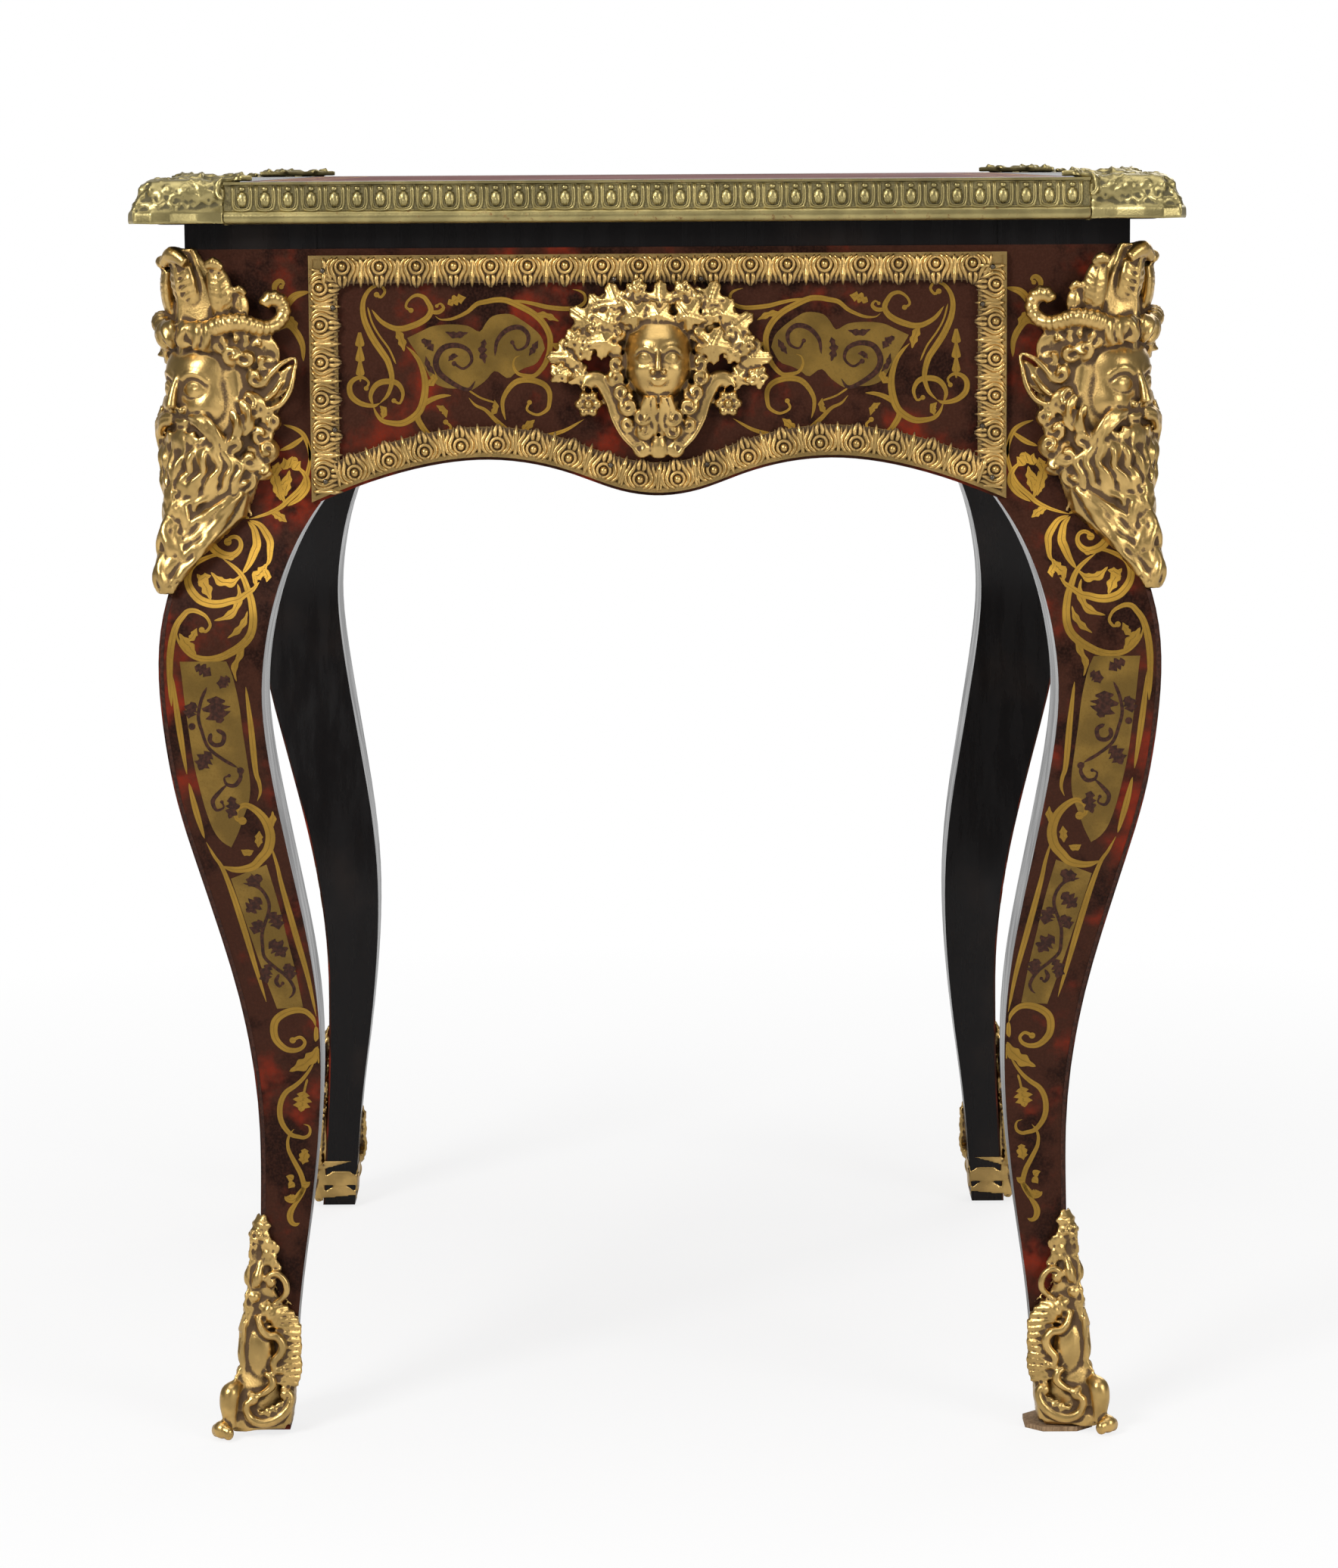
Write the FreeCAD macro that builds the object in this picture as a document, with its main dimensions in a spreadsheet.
import FreeCAD, Part
import math
import os
from types import SimpleNamespace

import Sketcher
from FreeCAD import Placement, Rotation, Vector

# Writing desk with cabriole legs, brass and shell marquetry and gilt bronze mounts.
# X runs along the desk, the drawer side faces -Y, Z is up, and the origin is on the
# floor under the middle of the desk. The right end of the desk is the one at +X.

doc = FreeCAD.newDocument("WritingDesk")

# Driving sizes in millimetres: name, value, what it measures
SIZES = [
    ("table_height", 775, "floor to writing surface"),
    ("stand_length", 711, "over the leg blocks, along X"),
    ("stand_width", 566, "over the leg blocks, along Y"),
    ("block_side", 79, "square block at the top of each leg"),
    ("veneer", 1.2, "thickness of the marquetry sheets"),
    ("band_height", 15, "ebonised band between marquetry and top"),
    ("foot_rise", 2, "wooden foot above the floor, inside its shoe"),
    ("overrun", 20, "how far a cutting shape passes its piece"),
    ("seat_gap", 0.3, "clearance round tenons and other seats"),
    ("top_thickness", 25, "top panel"),
    ("top_overhang", 15, "top panel past the leg blocks"),
    ("top_corner_radius", 14, "rounded corners of the top panel"),
    ("leather_depth", 1.5, "thickness of the writing leather"),
    ("leather_border", 48, "wooden border round the leather"),
    ("moulding_reach", 6, "edge moulding past the top panel"),
    ("moulding_torus", 8, "height of the plain lower round of the moulding"),
    ("moulding_field", 3.6, "reach of the ornamented band of the moulding"),
    ("moulding_lip", 1.6, "height of the upper fillet of the moulding"),
    ("moulding_joint", 88, "butt joint of the end mouldings from the middle"),
    ("clasp_arm", 40.5, "corner mount along each edge of the top"),
    ("clasp_lobe", 58, "corner mount over the top, from the corner"),
    ("clasp_reach", 18, "corner mount past the top panel"),
    ("clasp_rim", 7, "height of the plain rim of a corner mount"),
    ("clasp_rise", 4.5, "corner mount above the writing surface"),
    ("apron_thickness", 20, "apron boards"),
    ("knee_drop", 167, "square block of the leg, from the top of the stand to the knee"),
    ("apron_depth", 164, "apron at its middle, from the top of the stand"),
    ("apron_lift", 20.5, "rise of the serpentine above its middle"),
    ("tenon_thickness", 10, "apron and rail tenons"),
    ("tenon_length", 25, "apron and rail tenons"),
    ("tenon_low_drop", 110, "lower edge of the apron tenons below the top of the stand"),
    ("tenon_high_drop", 25, "upper edge of the apron tenons below the top of the stand"),
    ("frame_lap", 5, "panel frame over the leg blocks"),
    ("frame_top_gap", 19, "panel frame below the top panel"),
    ("frame_strip", 15, "width of the top strip of a panel frame"),
    ("frame_side_strip", 17, "width of the side strips"),
    ("frame_low_strip", 18, "width of the serpentine strips"),
    ("frame_edge_gap", 2, "frame above the lower edge of the apron"),
    ("frame_thickness", 3, "panel frame at its ornamented field"),
    ("frame_fillet", 2.5, "width of the plain outer fillet of a frame"),
    ("frame_fillet_height", 4.5, "height of that fillet off the panel"),
    ("rail_height", 18.5, "front rail over the drawer"),
    ("rail_depth", 60, "front rails, front to back"),
    ("rail_tenon_height", 10, "tenons of the front rails"),
    ("runner_height", 14, "runner boards and lower front rail"),
    ("runner_drop", 125, "running surface below the top of the stand"),
    ("runner_width", 26, "bearing part of a runner, under the drawer side"),
    ("guide_width", 20, "guide strips"),
    ("guide_height", 15, "guide strips"),
    ("kicker_gap", 2, "kicker above the drawer side"),
    ("glue_block_side", 24, "glue blocks, legs of the triangle"),
    ("glue_block_length", 60, "glue blocks"),
    ("screw_radius", 2.2, "shank of the screws that hold the top"),
    ("screw_head_radius", 4.5, "heads of those screws"),
    ("screw_head_height", 3, "heads of those screws"),
    ("screw_grip", 14, "screw inside the top panel"),
    ("drawer_gap", 1, "drawer front to leg block"),
    ("drawer_head_gap", 1.5, "drawer front to rail"),
    ("drawer_proud", 0.4, "drawer face in front of the leg blocks"),
    ("drawer_front_thickness", 19, "drawer front behind its marquetry"),
    ("drawer_side_thickness", 12, "drawer sides and back"),
    ("drawer_side_drop", 8, "drawer sides below the top of the drawer front"),
    ("drawer_back_gap", 55, "end of the drawer to the back apron"),
    ("drawer_back_drop", 7, "drawer back below the top of the sides"),
    ("drawer_bottom_rise", 6, "drawer bottom above the runner"),
    ("drawer_bottom_thickness", 6, "drawer bottom"),
    ("groove_depth", 5, "grooves that hold bottom and back"),
    ("dovetail_depth", 13, "tails of the drawer sides into the front"),
    ("dovetail_flare", 3, "slope of each tail over its depth"),
    ("lock_width", 60, "lock case"),
    ("lock_height", 52, "lock case"),
    ("lock_depth", 14, "lock case, front to back"),
    ("lock_let_in", 12, "lock case let into the drawer front"),
    ("bolt_width", 18, "lock bolt"),
    ("bolt_depth", 6, "lock bolt, front to back"),
    ("bolt_gap", 0.2, "bolt in its channel"),
    ("bolt_travel", 8, "throw of the bolt"),
    ("bolt_margin", 0.5, "bolt below the top of the drawer front at rest"),
    ("bolt_seat", 4, "lower end of the bolt above the axis of the key"),
    ("key_drop", 34, "key below the top of the drawer front"),
    ("key_shank_radius", 2.5, "key shank"),
    ("key_bit_reach", 9, "key bit from the key's axis"),
    ("key_bit_thickness", 3, "key bit"),
    ("key_gap", 0.5, "key in its hole"),
    ("key_bow_radius", 11, "outside of the ring of the key's bow"),
    ("key_bow_wire", 4, "width and thickness of the metal of the bow"),
    ("key_bow_reach", 20.5, "middle of the bow in front of the drawer face"),
    ("key_collar_radius", 4, "collar on the key shank"),
    ("key_collar_length", 3, "collar on the key shank"),
    ("strike_thickness", 1.5, "strike plate in the rail"),
    ("strike_width", 44, "strike plate"),
    ("plate_width", 34, "key escutcheon"),
    ("plate_height", 46, "key escutcheon"),
    ("plate_thickness", 3, "key escutcheon"),
    ("chute_drop", 12, "top of the satyr mounts below the top of the stand"),
    ("chute_height", 210, "satyr mounts"),
    ("chute_wing", 62, "satyr mount along each face, from the corner"),
    ("chute_relief", 16, "satyr mount off each face"),
    ("sabot_height", 130, "foot mounts at their leaf tip"),
    ("sabot_relief", 9.5, "foot mounts past the leg's outer edge"),
    ("toe_reach", 30, "toe past the leg's outer edge at the floor"),
    ("shoe_height", 38, "plain inner plates of the foot mounts"),
    ("shoe_wall", 1.5, "thickness of those plates"),
    ("pad_thickness", 3, "levelling pad under one foot"),
    ("pad_width", 42, "levelling pad"),
    ("mask_drop", 88, "middle of the masks below the top of the stand"),
    ("mask_head_width", 50, "head of the masks with its hair"),
    ("mask_head_height", 66, "head of the masks"),
    ("mask_relief", 26, "head of the masks off the panel"),
    ("mask_wreath", 36, "ring of leaves above the middle of the head"),
    ("mask_wreath_side", 49, "ring of leaves beside the middle of the head"),
    ("mask_leaf", 13, "vine leaves of the wreath"),
    ("mask_leaf_relief", 9, "vine leaves off the panel"),
    ("mask_strap", 7, "width of the scrolled straps"),
    ("mask_strap_relief", 6, "straps off the panel"),
    ("mask_strap_reach", 59, "straps from the middle of the mask at their top"),
    ("mask_foot", 53, "volutes below the middle of the head"),
    ("mask_volute", 8, "radius of the two volutes"),
]

# Shares of the height of the knee and of the block side, from the knee down to the floor.
# The second number is how far the edge lies outside the block's outer face.
LEG_OUTER_SHARES = [
    (1.000, 0.000), (0.974, 0.030), (0.930, 0.112), (0.885, 0.198), (0.830, 0.236),
    (0.767, 0.209), (0.693, 0.128), (0.619, -0.010), (0.544, -0.161), (0.470, -0.292),
    (0.395, -0.381), (0.322, -0.419), (0.250, -0.415), (0.171, -0.398), (0.086, -0.360),
    (0.000, -0.316),
]
LEG_INNER_SHARES = [
    (1.000, -1.000), (0.955, -0.797), (0.908, -0.663), (0.861, -0.584), (0.801, -0.543),
    (0.742, -0.575), (0.669, -0.659), (0.594, -0.758), (0.520, -0.848), (0.445, -0.899),
    (0.370, -0.896), (0.298, -0.856), (0.226, -0.792), (0.156, -0.720), (0.077, -0.665),
    (0.000, -0.620),
]
# Lower edge of an apron: share of its half span, share of its lift above the middle
SERPENTINE_SHARES = [(0.00, 0.00), (0.12, 0.17), (0.25, 0.63), (0.50, 1.08), (0.72, 0.82)]
SERPENTINE_END_SHARE = -0.12
SERPENTINE_FALL_SHARE = 4.2

# Plan of a corner mount, as shares of its reach (outside) and of its lobe (inside)
CLASP_OUTER_SHARES = [(0.50, 0.50), (0.72, 0.70), (0.98, 0.10), (0.86, -0.55), (0.55, -1.40)]
CLASP_INNER_SHARES = [(-1.00, -0.08), (-0.83, -0.34), (-0.58, -0.58)]
# How far each level of the corner mount draws in, and its height share from rim to top
CLASP_LEVEL_SHARES = [(1.00, 0.00), (0.84, 0.60), (0.62, 0.87), (0.40, 1.00)]

# Satyr mount levels: share of height from the top, wing share, relief share, nose share
CHUTE_LEVEL_SHARES = [
    (0.00, 0.14, 0.45, 0.56), (0.16, 0.50, 0.62, 0.40), (0.30, 0.88, 0.90, 0.34),
    (0.46, 1.00, 1.00, 0.28), (0.62, 0.80, 1.05, 0.38), (0.78, 0.66, 0.95, 0.55),
    (0.90, 0.26, 0.80, 0.60), (1.00, 0.06, 0.55, 0.45),
]
CHUTE_BULGE_SHARE = 0.52
# Foot mount levels: share of height, share of the leg's width, relief share, nose share
SABOT_LEVEL_SHARES = [
    (1.00, 0.22, 0.35, 0.70), (0.84, 0.42, 0.60, 0.86), (0.70, 0.56, 0.70, 0.95),
    (0.62, 0.96, 0.45, 1.00), (0.34, 0.98, 0.50, 1.05),
]
TOE_LEVEL_SHARES = [(0.22, 0.62), (0.12, 0.86), (0.00, 1.00)]
TOE_FACE_SHARE = 0.60
SABOT_BULGE_SHARE = 0.50

# Mask levels: share of the head's height from its middle, share of its width and relief
HEAD_LEVEL_SHARES = [
    (-0.80, 0.26, 0.40), (-0.62, 0.56, 0.72), (-0.34, 0.80, 0.92), (-0.06, 0.96, 1.00),
    (0.22, 1.00, 0.90), (0.46, 0.78, 0.64), (0.60, 0.40, 0.30),
]
LEAF_POINT_SHARES = [1.00, 0.52, 0.86, 0.46, 0.74]
SCREW_SHARES = [-0.70, 0.0, 0.70]
RAISED_LOBE_SHARE = 0.35

CORNERS = [("front_left", -1, -1), ("front_right", 1, -1), ("back_left", -1, 1), ("back_right", 1, 1)]
PADDED_CORNER = "back_right"


class Measure:
    """A length kept both as a formula on the sheet and as its present value."""

    def __init__(self, formula, value):
        self.formula = formula
        self.value = value

    @staticmethod
    def of(item):
        return item if isinstance(item, Measure) else Measure(repr(item), float(item))

    def __add__(self, other):
        other = Measure.of(other)
        return Measure("(%s + %s)" % (self.formula, other.formula), self.value + other.value)

    def __sub__(self, other):
        other = Measure.of(other)
        return Measure("(%s - %s)" % (self.formula, other.formula), self.value - other.value)

    def __mul__(self, factor):
        return Measure("(%s * %r)" % (self.formula, float(factor)), self.value * factor)

    def __truediv__(self, divisor):
        return Measure("(%s / %r)" % (self.formula, float(divisor)), self.value / divisor)

    def __neg__(self):
        return Measure("(-%s)" % self.formula, -self.value)

    __rmul__ = __mul__


def make_sheet():
    """Write the driving sizes to the spreadsheet and return them as measures."""
    sheet = doc.addObject("Spreadsheet::Sheet", "Sizes")
    for row, (alias, value, note) in enumerate(SIZES, start=1):
        sheet.set("A%d" % row, note)
        sheet.set("B%d" % row, str(value))
        sheet.setAlias("B%d" % row, alias)
    doc.recompute()
    return SimpleNamespace(**{alias: Measure("Sizes." + alias, float(sheet.get(alias)))
                              for alias, value, note in SIZES})


m = make_sheet()
ZERO = Measure("0", 0.0)
PARTS = {}

# Places that several pieces share
stand_height = m.table_height - m.top_thickness
end_face = m.stand_length / 2
side_face = m.stand_width / 2
end_span = m.stand_width / 2 - m.block_side
side_span = m.stand_length / 2 - m.block_side
panel_top = stand_height - m.frame_top_gap
band_bottom = stand_height - m.band_height
panel_x = end_face + m.top_overhang
panel_y = side_face + m.top_overhang
drawer_face = side_face + m.drawer_proud
drawer_wood = drawer_face - m.veneer
drawer_back_face = drawer_wood - m.drawer_front_thickness
drawer_head = stand_height - m.rail_height - m.drawer_head_gap
key_height = drawer_head - m.key_drop
knee_height = stand_height - m.knee_drop
apron_low = stand_height - m.apron_depth
tenon_low = stand_height - m.tenon_low_drop
tenon_high = stand_height - m.tenon_high_drop
runner_top = stand_height - m.runner_drop
side_top = drawer_head - m.drawer_side_drop
apron_back_x = end_face - m.veneer - m.apron_thickness
apron_back_y = side_face - m.veneer - m.apron_thickness
drawer_end = apron_back_y - m.drawer_back_gap
chute_top = stand_height - m.chute_drop
mask_middle = stand_height - m.mask_drop


# Document helpers

def bind(item, prop, measure):
    item.setExpression(prop, measure.formula)


def new_body(label):
    body = doc.addObject("PartDesign::Body", label)
    body.Label = label
    return body


def sketch_on(body, role, offset=ZERO):
    """A sketch on one of the body's own origin planes, lifted along its normal."""
    plane = [item for item in body.Origin.OriginFeatures if item.Role == role][0]
    sketch = body.newObject("Sketcher::SketchObject", body.Label + "_outline")
    sketch.AttachmentSupport = (plane, [""])
    sketch.MapMode = "FlatFace"
    bind(sketch, "AttachmentOffset.Base.z", offset)
    return sketch


def add_polygon(sketch, points):
    """Straight sides whose corners are held from the origin by bound distances."""
    first = sketch.GeometryCount
    count = len(points)
    spots = [Vector(across.value, along.value, 0) for across, along in points]
    for index in range(count):
        sketch.addGeometry(Part.LineSegment(spots[index], spots[(index + 1) % count]))
    for index in range(count):
        line = first + index
        following = first + (index + 1) % count
        sketch.addConstraint(Sketcher.Constraint("Coincident", line, 2, following, 1))
        for kind, measure in zip(("DistanceX", "DistanceY"), points[index]):
            number = sketch.addConstraint(
                Sketcher.Constraint(kind, -1, 1, line, 1, measure.value))
            bind(sketch, "Constraints[%d]" % number, measure)


def add_circle(sketch, across, along, radius):
    ring = sketch.addGeometry(Part.Circle(Vector(across.value, along.value, 0), Vector(0, 0, 1),
                                          radius.value))
    for kind, measure in (("DistanceX", across), ("DistanceY", along)):
        number = sketch.addConstraint(Sketcher.Constraint(kind, -1, 1, ring, 3, measure.value))
        bind(sketch, "Constraints[%d]" % number, measure)
    number = sketch.addConstraint(Sketcher.Constraint("Radius", ring, radius.value))
    bind(sketch, "Constraints[%d]" % number, radius)


def add_curves(sketch, curves):
    for curve in curves:
        sketch.addGeometry(curve)


def pad(body, sketch, length, both_ways=False, backwards=False):
    feature = body.newObject("PartDesign::Pad", body.Label + "_pad")
    feature.Profile = sketch
    feature.Midplane = both_ways
    feature.Reversed = backwards
    bind(feature, "Length", length)
    body.Tip = feature
    return feature


def pocket(body, sketch, length, both_ways=False, backwards=False):
    feature = body.newObject("PartDesign::Pocket", body.Label + "_pocket")
    feature.Profile = sketch
    feature.Midplane = both_ways
    feature.Reversed = backwards
    bind(feature, "Length", length)
    body.Tip = feature
    return feature


def prism(label, role, points, start, length):
    """A body padded from a bound polygon. It starts at an offset along the normal."""
    body = new_body(label)
    sketch = sketch_on(body, role, start)
    add_polygon(sketch, points)
    pad(body, sketch, length)
    return body


def rectangle(low_across, high_across, low_along, high_along):
    return [(low_across, low_along), (high_across, low_along),
            (high_across, high_along), (low_across, high_along)]


def board(label, x_range, y_range, z_range):
    """A plain board between two places along each axis."""
    low_x, high_x = x_range
    low_y, high_y = y_range
    low_z, high_z = z_range
    item = doc.addObject("Part::Box", label)
    item.Label = label
    bind(item, "Length", high_x - low_x)
    bind(item, "Width", high_y - low_y)
    bind(item, "Height", high_z - low_z)
    bind(item, "Placement.Base.x", low_x)
    bind(item, "Placement.Base.y", low_y)
    bind(item, "Placement.Base.z", low_z)
    return item


def spread(sign, near, far):
    """The range between two distances from the middle, on the side that sign names."""
    return (near, far) if sign > 0 else (-far, -near)


def rod(label, radius, length, base, direction):
    item = doc.addObject("Part::Cylinder", label)
    item.Label = label
    bind(item, "Radius", radius)
    bind(item, "Height", length)
    for axis, measure in zip("xyz", base):
        bind(item, "Placement.Base." + axis, measure)
    item.Placement.Rotation = Rotation(Vector(0, 0, 1), direction)
    return item


def compound(label, members):
    item = doc.addObject("Part::Compound", label)
    item.Label = label
    item.Links = members
    return item


def fuse(label, members):
    item = doc.addObject("Part::MultiFuse", label)
    item.Label = label
    item.Shapes = members
    return item


def cut(label, base, tools):
    """Take each tool away from the base in turn."""
    item = base
    for tool in tools:
        rest = item
        item = doc.addObject("Part::Cut", "cut_for_" + label)
        item.Base = rest
        item.Tool = tool
    item.Label = label
    return item


def common(label, members):
    item = doc.addObject("Part::MultiCommon", label)
    item.Label = label
    item.Shapes = members
    return item


def cast(label, shape, placement=Placement()):
    """A cast bronze piece whose shape is worked out from the sheet's values."""
    item = doc.addObject("Part::Feature", label)
    item.Label = label
    item.Shape = shape
    item.Placement = placement
    return item


def keep(item, label=None):
    """Record a finished piece under its own name."""
    item.Label = label or item.Label
    PARTS[item.Label] = item
    return item


def smooth(points, start=None, end=None):
    """A spline through the points, with a set direction at either end if one is given."""
    curve = Part.BSplineCurve()
    if start is not None and end is not None:
        curve.interpolate(Points=points, InitialTangent=start, FinalTangent=end)
    else:
        curve.interpolate(points)
    return curve


# Legs: each is sawn from a square blank along two outlines, one for each pair of faces

def leg_point(face, height_share, out_share, sign, shift=0.0):
    return Vector(sign * (face.value + out_share * m.block_side.value - shift),
                  height_share * knee_height.value, 0)


def leg_edge(face, sign, shift=0.0):
    """The curved outer edge of a leg, from its swell down to the floor."""
    points = [leg_point(face, height, out, sign, shift) for height, out in LEG_OUTER_SHARES]
    first, last = points[1] - points[0], points[-1] - points[-2]
    return smooth(points, Vector(0, -first.Length, 0), last)


def leg_curves(face, sign):
    """The closed outline of a leg in the plane across one pair of its faces."""
    top = stand_height.value
    outer = leg_edge(face, sign)
    inner_points = [leg_point(face, height, out, sign) for height, out in LEG_INNER_SHARES]
    inner = smooth(inner_points)
    outer_top = Vector(sign * face.value, top, 0)
    inner_top = Vector(sign * (face.value - m.block_side.value), top, 0)
    swell = leg_point(face, *LEG_OUTER_SHARES[0], sign)
    outer_foot = leg_point(face, *LEG_OUTER_SHARES[-1], sign)
    return [Part.LineSegment(inner_top, outer_top), Part.LineSegment(outer_top, swell), outer,
            Part.LineSegment(outer_foot, inner_points[-1]), inner,
            Part.LineSegment(inner_points[0], inner_top)]


def make_leg_form(name, sign_x, sign_y):
    """The full outside form of a leg, marquetry included, down to the floor."""
    body = new_body("form_" + name)
    blank = sketch_on(body, "XZ_Plane")
    add_curves(blank, leg_curves(end_face, sign_x))
    pad(body, blank, m.stand_width + m.overrun * 2, both_ways=True)
    waste = sketch_on(body, "YZ_Plane")
    add_curves(waste, leg_curves(side_face, sign_y))
    reach = side_face + m.overrun * 2
    add_polygon(waste, rectangle(-reach, reach, -m.overrun, stand_height + m.overrun))
    pocket(body, waste, m.stand_length * 2, both_ways=True)
    return body


def make_slab(label, role, face, sign, length):
    """All that lies outside a leg's outer face sunk by the thickness of the veneer."""
    shift = m.veneer.value
    swell = leg_point(face, *LEG_OUTER_SHARES[0], sign, shift)
    foot = leg_point(face, *LEG_OUTER_SHARES[-1], sign, shift)
    far = sign * (face.value + m.overrun.value + m.block_side.value)
    start = Vector(swell.x, band_bottom.value, 0)
    corners = [Vector(far, foot.y, 0), Vector(far, start.y, 0)]
    body = new_body(label)
    sketch = sketch_on(body, role)
    add_curves(sketch, [Part.LineSegment(start, swell), leg_edge(face, sign, shift),
                        Part.LineSegment(foot, corners[0]),
                        Part.LineSegment(corners[0], corners[1]),
                        Part.LineSegment(corners[1], start)])
    pad(body, sketch, length, both_ways=True)
    return body


def mortise(label, x_range, y_range, z_range):
    """A hole for a tenon, larger than it by the seat gap on every side."""
    wider = [(low - m.seat_gap, high + m.seat_gap) for low, high in (x_range, y_range, z_range)]
    return board(label, *wider)


def end_tenon(sign_x, sign_y):
    """Place of an end apron's tenon in one of its legs."""
    outer = end_face - m.veneer - (m.apron_thickness - m.tenon_thickness) / 2
    return (spread(sign_x, outer - m.tenon_thickness, outer),
            spread(sign_y, end_span, end_span + m.tenon_length), (tenon_low, tenon_high))


def back_tenon(sign_x):
    outer = side_face - m.veneer - (m.apron_thickness - m.tenon_thickness) / 2
    return (spread(sign_x, side_span, side_span + m.tenon_length),
            (outer - m.tenon_thickness, outer), (tenon_low, tenon_high))


def rail_tenon(sign_x, low_z):
    """Place of a front rail's tenon, in the back half of the rail."""
    near = -side_face + m.apron_thickness
    return (spread(sign_x, side_span, side_span + m.tenon_length),
            (near + m.tenon_thickness, near + m.tenon_thickness * 3),
            (low_z, low_z + m.rail_tenon_height))


rail_tenon_low = stand_height - (m.rail_height + m.rail_tenon_height) / 2
runner_bottom = runner_top - m.runner_height
bearer_tenon_low = runner_bottom + (m.runner_height - m.rail_tenon_height) / 2


def make_leg(name, sign_x, sign_y, form):
    """The wooden leg and its two marquetry sheets, all taken from one form."""
    slab_x = make_slab("slab_x_" + name, "XZ_Plane", end_face, sign_x, m.stand_width * 2)
    slab_y = make_slab("slab_y_" + name, "YZ_Plane", side_face, sign_y, m.stand_length * 2)
    rise = m.foot_rise + m.pad_thickness if name == PADDED_CORNER else m.foot_rise
    below = board("below_" + name, spread(sign_x, ZERO, m.stand_length),
                  spread(sign_y, ZERO, m.stand_width), (-m.overrun, rise))
    end_skin = common("end_skin_" + name, [form, slab_x])
    side_skin = common("side_skin_" + name, [form, slab_y])
    end_sheet = cut("end_sheet_" + name, end_skin, [below])
    side_sheet = cut("side_sheet_" + name, side_skin, [slab_x, below])
    keep(compound("leg_marquetry_" + name, [end_sheet, side_sheet]))

    holes = [mortise("end_mortise_" + name, *end_tenon(sign_x, sign_y))]
    if sign_y > 0:
        holes.append(mortise("back_mortise_" + name, *back_tenon(sign_x)))
    else:
        holes.append(mortise("rail_mortise_" + name, *rail_tenon(sign_x, rail_tenon_low)))
        holes.append(mortise("bearer_mortise_" + name, *rail_tenon(sign_x, bearer_tenon_low)))
    keep(cut("leg_" + name, form, [slab_x, slab_y, below] + holes))


# Aprons with a serpentine lower edge, and the marquetry sheets on them

def serpentine(span, end_share=1.0, lift=ZERO, end_reach=ZERO):
    """The lower edge of an apron as a spline from one end to the other."""
    reach = span.value * end_share + end_reach.value
    fall = SERPENTINE_FALL_SHARE * (reach / span.value - 1.0)
    half = [(share * span.value, rise) for share, rise in SERPENTINE_SHARES]
    half.append((reach, SERPENTINE_END_SHARE - fall))
    both = [(-across, rise) for across, rise in reversed(half[1:])] + half
    base = apron_low.value + lift.value
    return smooth([Vector(across, base + rise * m.apron_lift.value, 0) for across, rise in both])


def apron_curves(span, head, margin=ZERO):
    """Closed outline of an apron or of the drawer front."""
    reach = span - margin
    low = serpentine(span, reach.value / span.value)
    first, last = low.StartPoint, low.EndPoint
    left = Vector(-reach.value, head.value, 0)
    right = Vector(reach.value, head.value, 0)
    return [low, Part.LineSegment(last, right), Part.LineSegment(right, left),
            Part.LineSegment(left, first)]


def make_panel(label, role, span, head, start, thickness, margin=ZERO):
    body = new_body(label)
    sketch = sketch_on(body, role, start)
    add_curves(sketch, apron_curves(span, head, margin))
    pad(body, sketch, thickness)
    return body


def add_tenons(body, role, span, start):
    sketch = sketch_on(body, role, start + (m.apron_thickness - m.tenon_thickness) / 2)
    reach = span + m.tenon_length
    add_polygon(sketch, rectangle(-reach, reach, tenon_low, tenon_high))
    pad(body, sketch, m.tenon_thickness)


def make_aprons():
    for name, start, sheet_start in (
            ("left", -end_face + m.veneer, -end_face),
            ("right", apron_back_x, end_face - m.veneer)):
        body = make_panel("apron_" + name, "YZ_Plane", end_span, stand_height, start,
                          m.apron_thickness)
        add_tenons(body, "YZ_Plane", end_span, start)
        keep(body)
        keep(make_panel("apron_marquetry_" + name, "YZ_Plane", end_span, band_bottom,
                        sheet_start, m.veneer))
    start = -side_face + m.veneer
    body = make_panel("apron_back", "XZ_Plane", side_span, stand_height, start, m.apron_thickness)
    add_tenons(body, "XZ_Plane", side_span, start)
    keep(body)
    keep(make_panel("apron_marquetry_back", "XZ_Plane", side_span, band_bottom, -side_face,
                    m.veneer))


# Front rails: one over the drawer, one under it, tenoned into the front legs

def make_rails():
    front = -side_face
    head = board("head_rail_board", (-side_span, side_span), (front, front + m.rail_depth),
                 (stand_height - m.rail_height, stand_height))
    tenons = [board("head_tenon_%s" % name, *rail_tenon(sign, rail_tenon_low))
              for name, sign in (("left", -1), ("right", 1))]
    slot = board("bolt_mortise", *bolt_space(m.bolt_gap * 5, m.bolt_travel + m.seat_gap * 2))
    seat = board("strike_seat", *strike_space())
    keep(cut("front_top_rail", fuse("head_rail", [head] + tenons), [slot, seat]))
    plate = board("strike_plate_blank", *strike_space())
    hole = board("strike_slot", *bolt_space(m.bolt_gap * 5, m.bolt_travel + m.seat_gap * 2))
    keep(cut("lock_strike", plate, [hole]))

    low_front = -drawer_back_face + m.drawer_proud
    low = board("low_rail_board", (-side_span, side_span), (low_front, front + m.rail_depth * 1.5),
                (runner_bottom, runner_top))
    tenons = [board("low_tenon_%s" % name, *rail_tenon(sign, bearer_tenon_low))
              for name, sign in (("left", -1), ("right", 1))]
    keep(fuse("front_bottom_rail", [low] + tenons))


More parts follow.
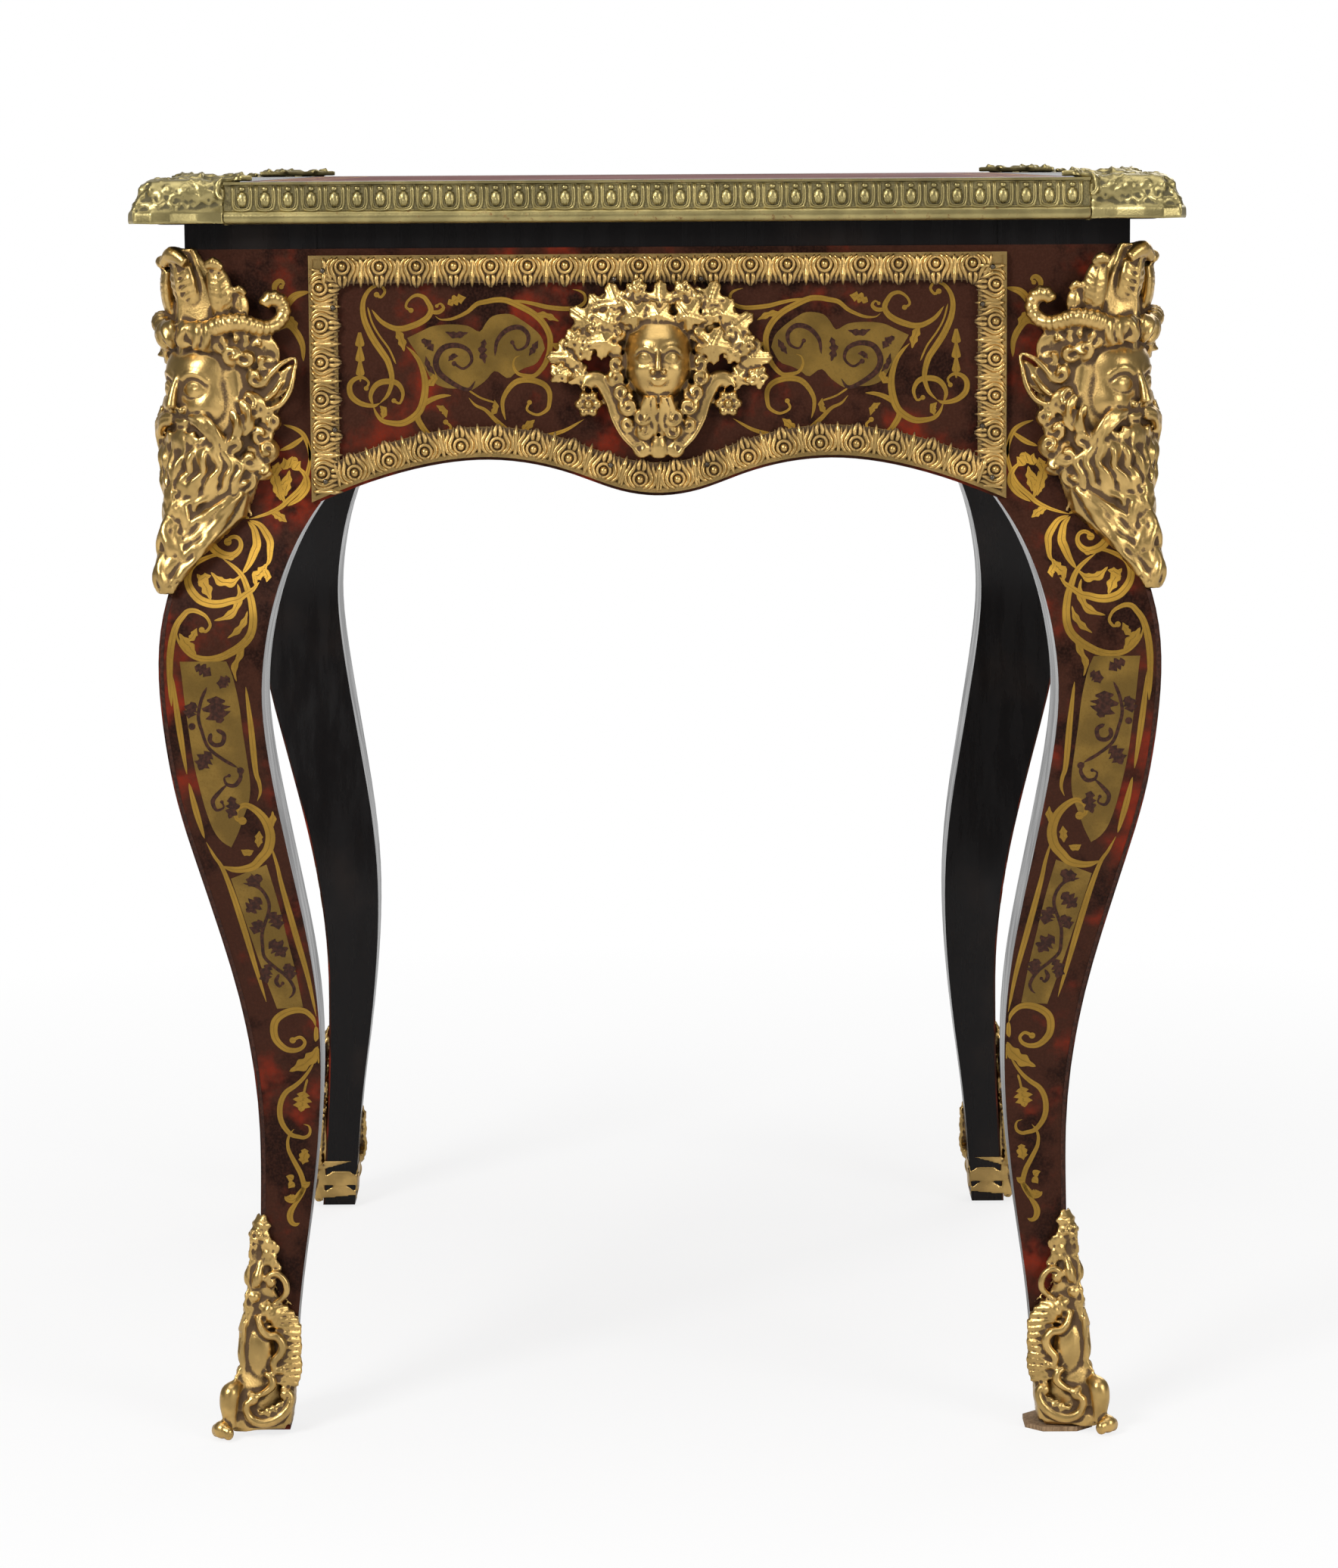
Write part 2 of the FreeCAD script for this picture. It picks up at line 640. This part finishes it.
def bolt_space(margin, travel):
    """Room that the bolt passes through, from the drawer head up to its full throw."""
    middle = -drawer_back_face - m.bolt_depth
    return ((-m.bolt_width / 2 - margin, m.bolt_width / 2 + margin),
            (middle - m.bolt_depth / 2 - margin, middle + m.bolt_depth / 2 + margin),
            (drawer_head, drawer_head + travel))


def strike_space():
    middle = -drawer_back_face - m.bolt_depth
    low = stand_height - m.rail_height
    return ((-m.strike_width / 2, m.strike_width / 2),
            (middle - m.bolt_depth, middle + m.bolt_depth), (low, low + m.strike_thickness))


# Panel frames: mitred strips with a plain outer fillet and a lower ornamented field

def band_edge(span, inset, lap):
    """Serpentine edge of the frame's lower strip, raised by the inset."""
    return serpentine(span, 1.0, m.frame_edge_gap + inset, lap)


def strip_outlines(span, width_share):
    """Outlines of the six strips of a frame, as lists of curves in its own plane.

    The share is the part of each strip's width that the outline covers, from outside.
    """
    lap = m.frame_lap
    half = (span + lap).value
    top = panel_top.value
    side = m.frame_side_strip.value * width_share
    drop = m.frame_strip.value * width_share
    low = m.frame_low_strip * width_share
    outer = band_edge(span, ZERO, lap)
    inner = band_edge(span, low, lap)
    shapes = []
    for sign in (-1, 1):
        corner = Vector(sign * half, top, 0)
        turn = Vector(sign * (half - side), top - drop, 0)
        middle = Vector(0, top, 0)
        shapes.append([Part.LineSegment(middle, corner), Part.LineSegment(corner, turn),
                       Part.LineSegment(turn, Vector(0, turn.y, 0)),
                       Part.LineSegment(Vector(0, turn.y, 0), middle)])
        outer_half = half_curve(outer, sign)
        inner_half = half_curve(inner, sign, half - side)
        foot = end_away(outer_half)
        inner_foot = end_away(inner_half)
        shapes.append([Part.LineSegment(corner, foot), Part.LineSegment(foot, inner_foot),
                       Part.LineSegment(inner_foot, turn), Part.LineSegment(turn, corner)])
        shapes.append([outer_half, Part.LineSegment(foot, inner_foot), inner_half,
                       Part.LineSegment(end_near(inner_half), end_near(outer_half))])
    return shapes


def end_away(curve):
    return max((curve.StartPoint, curve.EndPoint), key=lambda point: abs(point.x))


def end_near(curve):
    return min((curve.StartPoint, curve.EndPoint), key=lambda point: abs(point.x))


def half_curve(curve, sign, reach=None):
    """The part of a serpentine on one side of its middle, out to a reach if one is given."""
    middle = curve.parameter(Vector(0, apron_low.value, 0))
    low, high = curve.FirstParameter, curve.LastParameter
    if reach is not None:
        edge = cut_parameter(curve, sign * reach)
        low, high = (edge, high) if sign < 0 else (low, edge)
    piece = curve.copy()
    piece.segment(*((low, middle) if sign < 0 else (middle, high)))
    return piece


def cut_parameter(curve, across):
    """Where along a serpentine its distance from the middle has the given value."""
    low, high = curve.FirstParameter, curve.LastParameter
    for step in range(40):
        middle = (low + high) / 2
        if curve.value(middle).x < across:
            low = middle
        else:
            high = middle
    return (low + high) / 2


def make_frame(label, role, span, face, outwards):
    """Six strips on one side of the desk. Each strip is a solid of its own."""
    fillet_share = m.frame_fillet.value / m.frame_low_strip.value
    strips = []
    outlines = zip(strip_outlines(span, 1.0), strip_outlines(span, fillet_share))
    for number, (field, fillet) in enumerate(outlines):
        body = new_body("%s_strip_%d" % (label, number))
        for curves, height in ((field, m.frame_thickness), (fillet, m.frame_fillet_height)):
            sketch = sketch_on(body, role, face)
            add_curves(sketch, curves)
            pad(body, sketch, height, backwards=not outwards)
        strips.append(body)
    keep(compound(label, strips))


# Masks: a head with a wreath of vine leaves over two scrolled straps

def ring_wire(points):
    return Part.makePolygon(points + points[:1])


def head_level(height_share, width_share, relief_share):
    """One level of a mask's head: an arch off the panel, closed a little behind it."""
    width = m.mask_head_width.value / 2 * width_share
    relief = m.mask_relief.value * relief_share
    height = mask_middle.value + m.mask_head_height.value * height_share
    sides = 10
    points = []
    for step in range(sides + 1):
        angle = math.pi * step / sides
        points.append(Vector(relief * math.sin(angle), -width * math.cos(angle), height))
    return ring_wire(points)


def leaf(across, height, turn, size):
    """A five-pointed vine leaf as a low pyramid with its ribs raised."""
    points = []
    lobes = len(LEAF_POINT_SHARES)
    for step in range(2 * lobes):
        lobe = min(step, 2 * lobes - step) % lobes
        angle = turn + math.pi * step / lobes
        reach = size * LEAF_POINT_SHARES[lobe]
        points.append(Vector(0, across + reach * math.sin(angle), height + reach * math.cos(angle)))
    tip = Vector(m.mask_leaf_relief.value, across, height)
    faces = [Part.Face(ring_wire(points))]
    for step in range(len(points)):
        faces.append(Part.Face(ring_wire([points[step], points[(step + 1) % len(points)], tip])))
    return Part.Solid(Part.Shell(faces))


def strap(sign):
    """One strap, from beside the head down to its volute."""
    middle = mask_middle.value
    reach, width = m.mask_strap_reach.value, m.mask_strap.value
    volute, foot = m.mask_volute.value, m.mask_foot.value
    top = Vector(0, sign * reach, middle - volute * 2)
    waist = Vector(0, sign * (reach - width * 2), middle - foot / 2)
    low = Vector(0, sign * (volute + width), middle - foot + volute)
    drop = Vector(0, 0, -width)
    outer = Part.Arc(top + drop / 2, waist + drop, low + drop / 2).toShape()
    inner = Part.Arc(top - drop / 2, waist, low - drop / 2).toShape()
    ends = [Part.makeLine(top + drop / 2, top - drop / 2),
            Part.makeLine(low + drop / 2, low - drop / 2)]
    face = Part.Face(Part.Wire(Part.__sortEdges__([outer, inner] + ends)))
    return face.extrude(Vector(m.mask_strap_relief.value, 0, 0))


def mask_shape():
    """A mask on the plane X = 0, facing +X, with its head at its real height."""
    levels = [head_level(*shares) for shares in HEAD_LEVEL_SHARES]
    pieces = [Part.makeLoft(levels, True, True)]
    middle, ring, side = mask_middle.value, m.mask_wreath.value, m.mask_wreath_side.value
    count = 9
    for step in range(count):
        angle = math.radians(-104 + 208 * step / (count - 1))
        size = m.mask_leaf.value * (1.0 + RAISED_LOBE_SHARE * math.cos(angle) / 2)
        pieces.append(leaf(side * math.sin(angle), middle + ring * math.cos(angle), angle, size))
    foot = Vector(0, 0, middle - m.mask_foot.value + m.mask_volute.value)
    for sign in (-1, 1):
        pieces.append(strap(sign))
        spot = foot + Vector(0, sign * m.mask_volute.value, 0)
        pieces.append(Part.makeCylinder(m.mask_volute.value, m.mask_strap_relief.value, spot,
                                        Vector(1, 0, 0)))
    core = Part.makeBox(m.mask_strap_relief.value, m.mask_volute.value * 2, m.mask_foot.value,
                        Vector(0, -m.mask_volute.value, foot.z))
    return pieces[0].fuse(pieces[1:] + [core]).removeSplitter()


def make_masks():
    shape = mask_shape()
    for name, turn, reach in (("right", 0, end_face), ("left", 180, end_face), ("back", 90, side_face)):
        rotation = Rotation(Vector(0, 0, 1), turn)
        spot = rotation.multVec(Vector(reach.value, 0, 0))
        keep(cast("mask_" + name, shape.copy(), Placement(spot, rotation)))


# Corner bronzes: lofts between levels that are symmetric about the corner's diagonal

def corner_ring(sign_x, sign_y, x_origin, y_origin, half_points, height):
    """A closed level from points on one side of the diagonal and their mirror images."""
    mirrored = [(y, x) for x, y in reversed(half_points) if x != y]
    return ring_wire([Vector(sign_x * (x_origin + x), sign_y * (y_origin + y), height)
                      for x, y in half_points + mirrored])


def leg_out(height):
    """How far the leg's outer edge lies outside the block's face at a height."""
    share = height / knee_height.value
    for (high, out_high), (low, out_low) in zip(LEG_OUTER_SHARES, LEG_OUTER_SHARES[1:]):
        if low <= share <= high:
            blend = (high - share) / (high - low)
            return m.block_side.value * (out_high + (out_low - out_high) * blend)
    return 0.0


def chute_shape(sign_x, sign_y):
    """Satyr mount: crest, head and beard as one swelling form down the corner."""
    rings = []
    wing, relief = m.chute_wing.value, m.chute_relief.value
    for drop, wing_share, relief_share, nose_share in CHUTE_LEVEL_SHARES:
        height = chute_top.value - m.chute_height.value * drop
        out = leg_out(height)
        reach = wing * wing_share
        rise, nose = relief * relief_share, relief * nose_share
        half = [(out + nose, out + nose), (out + rise * 0.85, out - reach * 0.2),
                (out + rise, out - reach * CHUTE_BULGE_SHARE),
                (out + rise * 0.6, out - reach * 0.86), (out - m.veneer.value, out - reach)]
        inner = out - max(reach, relief) * 0.6 - m.veneer.value
        half.append((inner, inner))
        rings.append(corner_ring(sign_x, sign_y, end_face.value, side_face.value,
                                 half, height))
    return Part.makeLoft(rings, True, True)


def sabot_shape(sign_x, sign_y):
    """Foot mount: leaf tip, shell over both outer faces, and a toe on the diagonal."""
    rings = []
    origin = (sign_x, sign_y, end_face.value, side_face.value)
    width = (LEG_OUTER_SHARES[-2][1] - LEG_INNER_SHARES[-2][1]) * m.block_side.value
    relief, wall = m.sabot_relief.value, m.shoe_wall.value
    for level, width_share, relief_share, nose_share in SABOT_LEVEL_SHARES:
        height = m.sabot_height.value * level
        out = leg_out(height)
        reach, rise, nose = width * width_share, relief * relief_share, relief * nose_share
        half = [(out + nose, out + nose), (out + rise, out - reach * SABOT_BULGE_SHARE),
                (out + wall, out - reach), (out - width / 2, out - reach)]
        half.append((out - width / 2, out - width / 2))
        rings.append(corner_ring(*origin, half, height))
    for level, nose_share in TOE_LEVEL_SHARES:
        height = m.sabot_height.value * level
        out = leg_out(height)
        nose = m.toe_reach.value * nose_share
        half = [(out + nose, out + nose),
                (out + relief * TOE_FACE_SHARE, out - width * SABOT_BULGE_SHARE),
                (out + wall, out - width), (out - width / 2, out - width)]
        half.append((out - width / 2, out - width / 2))
        rings.append(corner_ring(*origin, half, height))
    upper = Part.makeLoft(rings, True, True)
    inner_top = inner_out(m.shoe_height.value)
    inner_low = inner_out(0.0)
    shoe = []
    for height, inner in ((m.shoe_height.value, inner_top), (0.0, inner_low)):
        out = leg_out(height)
        half = [(out + wall, out + wall), (out + wall, inner - wall), (inner - wall, inner - wall)]
        shoe.append(corner_ring(*origin, half, height))
    return upper.fuse(Part.makeLoft(shoe, True, True))


def inner_out(height):
    """How far the leg's inner edge lies outside the block's outer face near the floor."""
    share = height / knee_height.value
    (high, out_high), (low, out_low) = LEG_INNER_SHARES[-2:]
    blend = (share - low) / (high - low)
    return m.block_side.value * (out_low + (out_high - out_low) * blend)


def clasp_shape(sign_x, sign_y):
    """Corner mount of the top: a plain rim and a dome that runs in over the top."""
    reach, arm, lobe = m.clasp_reach.value, m.clasp_arm.value, m.clasp_lobe.value
    low = m.table_height.value - m.top_thickness.value
    rim = low + m.clasp_rim.value
    top = m.table_height.value + m.clasp_rise.value
    outer = [(x * reach, y * reach) for x, y in CLASP_OUTER_SHARES]
    outer[0] = (reach * CLASP_OUTER_SHARES[1][0] * 1.16, reach * CLASP_OUTER_SHARES[1][0] * 1.16)
    outer.append((m.moulding_reach.value + m.frame_fillet.value / 2, -arm))
    inner = [(-m.moulding_field.value, -arm - (lobe - arm) / 2)]
    inner += [(y * lobe, x * lobe) for x, y in CLASP_INNER_SHARES]
    origin = (sign_x, sign_y, panel_x.value, panel_y.value)
    rings = [corner_ring(*origin, outer + inner, low)]
    for draw, rise in CLASP_LEVEL_SHARES:
        drawn = [(x * draw - (1 - draw) * arm, y if y < -arm / 2 else y * draw - (1 - draw) * arm)
                 for x, y in outer]
        drawn = [(min(x, m.clasp_reach.value), y) for x, y in drawn]
        rings.append(corner_ring(*origin, drawn + inner, rim + (top - rim) * rise))
    return Part.makeLoft(rings, True, True)


# Top: panel with a recess for the leather, edge mouldings and corner mounts

def panel_sketch(body, start, half_x, half_y, radius=None):
    sketch = sketch_on(body, "XY_Plane", start)
    x, y = half_x.value, half_y.value
    r = radius.value if radius else 0.0
    if not radius:
        add_polygon(sketch, rectangle(-half_x, half_x, -half_y, half_y))
        return sketch
    bend = r * (1 - math.sqrt(0.5))
    for sign_x, sign_y in ((1, 1), (-1, 1), (-1, -1), (1, -1)):
        if sign_x * sign_y > 0:
            line_end = Vector(-sign_x * (x - r), sign_y * y, 0)
        else:
            line_end = Vector(sign_x * x, -sign_y * (y - r), 0)
        flat = Vector(sign_x * (x - r), sign_y * y, 0)
        upright = Vector(sign_x * x, sign_y * (y - r), 0)
        middle = Vector(sign_x * (x - bend), sign_y * (y - bend), 0)
        sketch.addGeometry(Part.Arc(flat, middle, upright))
        sketch.addGeometry(Part.LineSegment(flat if sign_x * sign_y > 0 else upright, line_end))
    return sketch


def screw_spots():
    """Places of the screws that hold the top, along both kickers."""
    across = side_span - m.runner_width / 2
    return [(sign * across, end_span * share) for sign in (-1, 1) for share in SCREW_SHARES]


def make_top():
    panel = new_body("top_panel")
    pad(panel, panel_sketch(panel, stand_height, panel_x, panel_y, m.top_corner_radius),
        m.top_thickness)
    leather_x, leather_y = panel_x - m.leather_border, panel_y - m.leather_border
    pocket(panel, panel_sketch(panel, m.table_height, leather_x, leather_y), m.leather_depth)
    sketch = sketch_on(panel, "XY_Plane", stand_height)
    for x, y in screw_spots():
        add_circle(sketch, x, y, m.screw_radius)
    pocket(panel, sketch, m.screw_grip, backwards=True)
    keep(panel)

    leather = new_body("leather_inset")
    base = m.table_height - m.leather_depth
    pad(leather, panel_sketch(leather, base, leather_x, leather_y), m.leather_depth)
    keep(leather)


def moulding_curves(edge, sign):
    """Section of the edge moulding: plain round below, flat band, fillet on top."""
    low = stand_height.value
    high = m.table_height.value
    field, reach = m.moulding_field.value, m.moulding_reach.value
    torus = m.moulding_torus.value
    lip = high - m.moulding_lip.value

    def spot(out, height):
        return Vector(sign * (edge.value + out), height, 0)

    corners = [spot(field, low + torus), spot(field, lip), spot(reach, lip), spot(reach, high),
               spot(0, high), spot(0, low), spot(field / 2, low)]
    curves = [Part.Arc(corners[-1], spot(reach, low + torus / 2), corners[0])]
    curves += [Part.LineSegment(a, b) for a, b in zip(corners, corners[1:])]
    return curves


def make_moulding(label, role, edge, sign, runs):
    """Lengths of moulding butted end to end along one edge of the top."""
    lengths = []
    for number, (start, end) in enumerate(runs):
        body = new_body("%s_length_%d" % (label, number))
        sketch = sketch_on(body, role, start if role == "YZ_Plane" else -end)
        add_curves(sketch, moulding_curves(edge, sign))
        pad(body, sketch, end - start)
        lengths.append(body)
    return keep(compound(label, lengths))


def make_edges():
    reach_y, reach_x = panel_y - m.clasp_arm, panel_x - m.clasp_arm
    ends = [(-reach_y, m.moulding_joint), (m.moulding_joint, reach_y)]
    sides = [(-reach_x, ZERO), (ZERO, reach_x)]
    mouldings = [
        make_moulding("edge_moulding_right", "XZ_Plane", panel_x, 1, ends),
        make_moulding("edge_moulding_left", "XZ_Plane", panel_x, -1, ends),
        make_moulding("edge_moulding_front", "YZ_Plane", panel_y, -1, sides),
        make_moulding("edge_moulding_back", "YZ_Plane", panel_y, 1, sides),
    ]
    wall = new_body("top_corner_cutter")
    pad(wall, panel_sketch(wall, stand_height - m.overrun, panel_x, panel_y, m.top_corner_radius),
        m.top_thickness + m.overrun)
    for name, sign_x, sign_y in CORNERS:
        form = cast("clasp_form_" + name, clasp_shape(sign_x, sign_y))
        keep(cut("corner_mount_" + name, form, [wall] + mouldings))


# Drawer carcase: runners, guides, kickers, glue blocks and the screws of the top

def make_carcase():
    inner_x, inner_y = apron_back_x, apron_back_y
    rail_back = -side_face + m.rail_depth * 1.5
    guides, kickers, blocks, screws = [], [], [], []
    kicker_low = side_top + m.kicker_gap
    head_back = -side_face + m.rail_depth
    for name, sign in (("left", -1), ("right", 1)):
        near, block, far = side_span - m.runner_width, side_span, inner_x
        shelf = end_span - m.seat_gap
        outline = [(near, rail_back), (block, rail_back), (block, -shelf), (far, -shelf),
                   (far, shelf), (block, shelf), (block, inner_y), (near, inner_y)]
        points = [(across * sign, along) for across, along in outline]
        keep(prism("drawer_runner_" + name, "XY_Plane", points, runner_bottom, m.runner_height))
        guides.append(board("guide_" + name, spread(sign, block, block + m.guide_width),
                            (-shelf, shelf), (runner_top, runner_top + m.guide_height)))
        holes = []
        for number, share in enumerate(SCREW_SHARES):
            x, y = sign * (side_span - m.runner_width / 2), end_span * share
            tag = "%s_%d" % (name, number)
            holes.append(rod("hole_" + tag, m.screw_radius, stand_height - kicker_low,
                             (x, y, kicker_low), Vector(0, 0, 1)))
            holes.append(rod("sink_" + tag, m.screw_head_radius, m.screw_head_height,
                             (x, y, kicker_low), Vector(0, 0, 1)))
            length = stand_height + m.screw_grip - kicker_low
            shank = rod("shank_" + tag, m.screw_radius, length, (x, y, kicker_low),
                        Vector(0, 0, 1))
            head = rod("head_" + tag, m.screw_head_radius, m.screw_head_height,
                       (x, y, kicker_low), Vector(0, 0, 1))
            screws.append(fuse("screw_" + tag, [shank, head]))
        bar = board("kicker_bar_" + name, spread(sign, near, block), (head_back, inner_y),
                    (kicker_low, stand_height))
        kickers.append(cut("kicker_" + name, bar, holes))
        for along in (-end_span / 2, end_span / 2):
            blocks.append(glue_block("end_block_%s_%d" % (name, len(blocks)), inner_x, along, sign,
                                     "XZ_Plane"))
    for along in (-side_span / 2, ZERO, side_span / 2):
        blocks.append(glue_block("back_block_%d" % len(blocks), inner_y, along, 1, "YZ_Plane"))
    keep(compound("drawer_guides", guides))
    keep(compound("drawer_kickers", kickers))
    keep(compound("glue_blocks", blocks))
    keep(compound("top_screws", screws))


def glue_block(label, face, along, sign, role):
    """A three-cornered block in the angle between an apron and the top."""
    side = m.glue_block_side
    points = [(face * sign, stand_height), ((face - side) * sign, stand_height),
              (face * sign, stand_height - side)]
    middle = along if role == "YZ_Plane" else -along
    return prism(label, role, points, middle - m.glue_block_length / 2, m.glue_block_length)


# Drawer: dovetailed box behind a serpentine front, with lock, bolt and key

def dovetail_outline(low, high, shoulder, end, tails):
    """Side of the drawer with its tails at the front end, in the plane of the side."""
    points = [(end, low), (end, high)]
    points.append((shoulder, high))
    pitch = (high - low) / tails
    pin = pitch / 4
    for number in reversed(range(tails)):
        base = low + pitch * number
        top_edge, low_edge = base + pitch - pin, base + pin
        points += [(shoulder, top_edge - m.dovetail_flare),
                   (shoulder - m.dovetail_depth, top_edge),
                   (shoulder - m.dovetail_depth, low_edge),
                   (shoulder, low_edge + m.dovetail_flare)]
    points.append((shoulder, low))
    return points


def make_drawer():
    shoulder = -drawer_back_face
    end = drawer_end
    low, high = runner_top, side_top
    outer = side_span - m.drawer_gap * 2
    inner = outer - m.drawer_side_thickness
    bottom_low = low + m.drawer_bottom_rise
    bottom_high = bottom_low + m.drawer_bottom_thickness
    groove = inner + m.groove_depth

    bottom_room = board("bottom_room", (-groove, groove), (shoulder - m.groove_depth, end + m.overrun),
                        (bottom_low, bottom_high))
    back_room = board("back_room", (-groove, groove), (end - m.drawer_side_thickness * 2,
                                                      end - m.drawer_side_thickness),
                      (bottom_high, high - m.drawer_back_drop))
    sides = []
    for name, sign in (("left", -1), ("right", 1)):
        body = prism("side_blank_" + name, "YZ_Plane", dovetail_outline(low, high, shoulder, end, 3),
                     inner if sign > 0 else -outer, m.drawer_side_thickness)
        sides.append(keep(cut("drawer_side_" + name, body, [bottom_room, back_room])))
    keep(board("drawer_bottom", (-groove, groove), (shoulder - m.groove_depth, end),
               (bottom_low, bottom_high)))
    keep(board("drawer_back", (-groove, groove), (end - m.drawer_side_thickness * 2,
                                                 end - m.drawer_side_thickness),
               (bottom_high, high - m.drawer_back_drop)))

    front = make_panel("front_blank", "XZ_Plane", side_span, drawer_head, drawer_back_face,
                       m.drawer_front_thickness, m.drawer_gap)
    key_shapes = key_hole("front_key_hole", drawer_back_face - m.lock_let_in,
                          drawer_face + m.overrun)
    case_room = board("case_room", *lock_space())
    keep(cut("drawer_front", front, sides + [bottom_room, case_room] + key_shapes))
    sheet = make_panel("sheet_blank", "XZ_Plane", side_span, drawer_head, drawer_wood, m.veneer,
                       m.drawer_gap)
    keep(cut("drawer_marquetry", sheet, key_hole("sheet_key_hole", drawer_back_face,
                                                 drawer_face + m.overrun)))
    make_frame("drawer_frame", "XZ_Plane", side_span, drawer_face, True)
    make_escutcheon()
    make_lock()


def key_hole(label, near, far):
    """Round hole and slot for a key, between two distances in front of the middle."""
    radius = m.key_shank_radius + m.key_gap
    hole = rod(label + "_round", radius, far - near, (ZERO, -near, key_height), Vector(0, -1, 0))
    half = m.key_bit_thickness / 2 + m.key_gap
    slot = board(label + "_slot", (-half, half), (-far, -near),
                 (key_height - m.key_bit_reach - m.key_gap, key_height))
    return [hole, slot]


def make_escutcheon():
    """Pointed oval plate over the keyhole."""
    half_width, half_height = m.plate_width.value / 2, m.plate_height.value / 2
    middle = key_height.value - m.key_bit_reach.value / 2
    tip, foot = Vector(0, middle + half_height, 0), Vector(0, middle - half_height, 0)
    body = new_body("plate_blank")
    sketch = sketch_on(body, "XZ_Plane", drawer_face)
    add_curves(sketch, [Part.Arc(tip, Vector(half_width, middle, 0), foot),
                        Part.Arc(foot, Vector(-half_width, middle, 0), tip)])
    pad(body, sketch, m.plate_thickness)
    keep(cut("escutcheon", body, key_hole("plate_key_hole", drawer_face - m.overrun,
                                          drawer_face + m.overrun)))


def lock_space():
    back = -drawer_back_face - m.lock_let_in
    return ((-m.lock_width / 2, m.lock_width / 2), (back, back + m.lock_depth),
            (drawer_head - m.lock_height, drawer_head))


def bolt_range(margin):
    middle = -drawer_back_face - m.bolt_depth
    return (middle - m.bolt_depth / 2 - margin, middle + m.bolt_depth / 2 + margin)


def make_lock():
    """Half-mortise lock: case, bolt that slides up, and a key whose bit lifts it."""
    wide = m.bolt_width / 2
    bolt_low = key_height + m.bolt_seat
    rest_head = drawer_head - m.bolt_margin
    low_y, high_y = bolt_range(m.bolt_gap)
    channel = board("bolt_channel", (-wide - m.bolt_gap, wide + m.bolt_gap), (low_y, high_y),
                    (key_height, drawer_head + m.overrun))
    room = rod("bit_room", m.key_bit_reach + m.key_gap * 2, high_y - low_y,
               (ZERO, high_y, key_height), Vector(0, -1, 0))
    case = board("case_block", *lock_space())
    keep(cut("lock_case", case, [channel, room] + key_hole("case_key_hole",
             drawer_back_face, drawer_face)))
    keep(board("lock_bolt", (-wide, wide), bolt_range(ZERO), (bolt_low, rest_head)))

    bow_middle = -drawer_face - m.key_bow_reach
    shank_end = bolt_range(ZERO)[1]
    shank_front = bow_middle + m.key_bow_radius - m.key_bow_wire / 2
    shank = rod("key_shank", m.key_shank_radius, shank_end - shank_front,
                (ZERO, shank_end, key_height), Vector(0, -1, 0))
    collar = rod("key_collar", m.key_collar_radius, m.key_collar_length,
                 (ZERO, -drawer_face - m.plate_thickness - m.key_gap * 2, key_height),
                 Vector(0, -1, 0))
    bit = board("key_bit", (ZERO, m.key_bit_reach), bolt_range(-m.bolt_gap),
                (key_height - m.key_bit_thickness / 2, key_height + m.key_bit_thickness / 2))
    bow_base = (ZERO, bow_middle, key_height - m.key_bow_wire / 2)
    disc = rod("key_bow_disc", m.key_bow_radius, m.key_bow_wire, bow_base, Vector(0, 0, 1))
    eye = rod("key_bow_eye", m.key_bow_radius - m.key_bow_wire, m.key_bow_wire, bow_base,
              Vector(0, 0, 1))
    bow = cut("key_bow", disc, [eye])
    keep(fuse("key", [shank, collar, bit, bow]))


def make_pad():
    """Levelling pad under the one foot that stands on it."""
    middle = (LEG_OUTER_SHARES[-1][1] + LEG_INNER_SHARES[-1][1]) / 2 * m.block_side.value
    x, y = end_face + middle, side_face + middle
    half = m.pad_width / 2
    points = [(x - half, y - half / 2), (x - half / 2, y - half), (x + half / 2, y - half),
              (x + half, y - half / 2), (x + half, y + half / 2), (x + half / 2, y + half),
              (x - half / 2, y + half), (x - half, y + half / 2)]
    keep(prism("levelling_pad", "XY_Plane", points, ZERO, m.pad_thickness))


def make_corner(name, sign_x, sign_y):
    form = make_leg_form(name, sign_x, sign_y)
    make_leg(name, sign_x, sign_y, form)
    crest = cast("chute_form_" + name, chute_shape(sign_x, sign_y))
    keep(cut("satyr_chute_" + name, crest, [form]))
    foot = cast("sabot_form_" + name, sabot_shape(sign_x, sign_y))
    tools = [form]
    if name == PADDED_CORNER:
        tools.append(board("pad_room", (ZERO, m.stand_length), (ZERO, m.stand_width),
                           (-m.overrun, m.pad_thickness)))
    keep(cut("sabot_" + name, foot, tools))


def build():
    for corner in CORNERS:
        make_corner(*corner)
    make_aprons()
    make_rails()
    make_frame("panel_frame_right", "YZ_Plane", end_span, end_face, True)
    make_frame("panel_frame_left", "YZ_Plane", end_span, -end_face, False)
    make_frame("panel_frame_back", "XZ_Plane", side_span, -side_face, False)
    make_masks()
    make_top()
    make_edges()
    make_carcase()
    make_drawer()
    make_pad()
    doc.recompute()


def check_document():
    for item in doc.Objects:
        if "Invalid" in item.State or "Error" in item.State:
            raise RuntimeError("%s could not be built: %s" % (item.Label, item.State))
    for label, item in PARTS.items():
        if item.Shape.isNull() or not item.Shape.isValid():
            raise RuntimeError("%s has no valid shape" % label)


def write_parts():
    os.makedirs("parts", exist_ok=True)
    for label, item in PARTS.items():
        item.Shape.exportStep("parts/%s.step" % label)
        print("%-28s %d solids %10.1f mm3" % (label, len(item.Shape.Solids), item.Shape.Volume))
    print(len(PARTS), "nodes")


build()
check_document()
write_parts()
